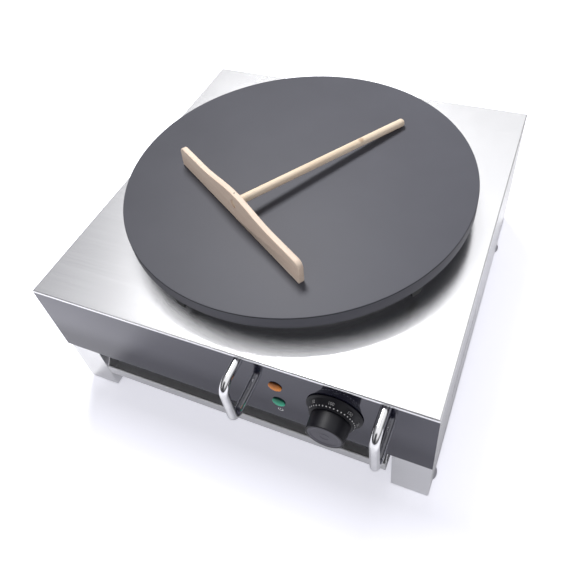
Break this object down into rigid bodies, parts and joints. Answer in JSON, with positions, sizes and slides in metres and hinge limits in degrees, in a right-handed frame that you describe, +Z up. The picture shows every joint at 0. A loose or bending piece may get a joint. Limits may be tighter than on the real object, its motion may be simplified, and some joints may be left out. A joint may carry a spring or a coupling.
{
  "type": "electric crepe maker",
  "caption": "Countertop electric griddle with a round cast plate on a folded steel body, dial thermostat, guard handles, pull-out crumb tray and wooden spreader.",
  "frame": {"origin": "on the table, under the middle of the machine's outline", "axes": "+X to the right seen from the front panel, +Y to the back, +Z up"},
  "size_m": [0.455, 0.512, 0.2584],
  "materials": {
    "brushed_steel": "fine brushed stainless sheet",
    "zinc_steel": "zinc-plated steel",
    "black_enamel": "mirror-gloss black enamel",
    "pale_rubber": "matt translucent moulded rubber",
    "cast_iron": "machined and seasoned top, cast rim",
    "element_alloy": "heat-darkened tube",
    "mineral_wool": "pressed fibre board",
    "moulded_cream": "moulded thermoset",
    "copper": "drawn copper tube",
    "black_nylon": "moulded nylon",
    "orange_lens": "translucent lens",
    "green_lens": "translucent lens",
    "chrome": "polished stainless bar",
    "black_plastic": "satin phenolic",
    "grey_plastic": "satin grey inlay",
    "beech": "sanded beech"
  },
  "bodies": {
    "body": {"top_cover": "brushed_steel", "lid_stiffeners": "zinc_steel", "cover_nuts": "zinc_steel", "side_panel_left": "brushed_steel", "side_panel_right": "brushed_steel", "front_panel": "black_enamel", "panel_nuts": "zinc_steel", "rear_cover": "brushed_steel", "rear_screws": "zinc_steel", "base_plate": "zinc_steel", "base_nuts": "zinc_steel", "rail_left": "zinc_steel", "rail_right": "zinc_steel", "rail_screws": "zinc_steel", "foot_front_left": "pale_rubber", "foot_front_right": "pale_rubber", "foot_rear_left": "pale_rubber", "foot_rear_right": "pale_rubber", "hotplate": "cast_iron", "heating_element": "element_alloy", "element_terminals": "zinc_steel", "element_clamp": "zinc_steel", "clamp_screws": "zinc_steel", "insulation_disc": "mineral_wool", "heat_shield": "zinc_steel", "plate_spacers": "zinc_steel", "plate_studs": "zinc_steel", "plate_nuts": "zinc_steel", "thermostat_body": "moulded_cream", "thermostat_screws": "zinc_steel", "capillary_tube": "copper", "bulb_clip": "zinc_steel", "clip_screws": "zinc_steel", "terminal_block": "moulded_cream", "cable_gland": "black_nylon", "gland_nut": "black_nylon", "orange_lens": "orange_lens", "green_lens": "green_lens", "orange_lamp_holder": "black_nylon", "green_lamp_holder": "black_nylon", "left_handle": "chrome", "right_handle": "chrome", "handle_bolts": "zinc_steel"},
    "knob": {"knob": "black_plastic", "dial_skirt": "black_plastic", "knob_cap": "grey_plastic", "thermostat_shaft": "zinc_steel"},
    "tray": {"tray": "brushed_steel"},
    "spreader": {"spreader_blade": "beech", "spreader_stick": "beech", "spreader_pin": "beech"}
  },
  "joints": [
    {"name": "knob_turn", "type": "hinge", "parent": "body", "child": "knob", "pos_m": [0.1256, -0.22, 0.1384], "axis": [0, -1, 0], "range_deg": [0, 273]},
    {"name": "tray_slide", "type": "slide", "parent": "body", "child": "tray", "axis": [0, -1, 0], "range_m": [0, 0.34]},
    {"name": "spreader_lift", "type": "slide", "parent": "body", "child": "spreader", "axis": [0, 0, 1], "range_m": [0, 0.25]}
  ]
}
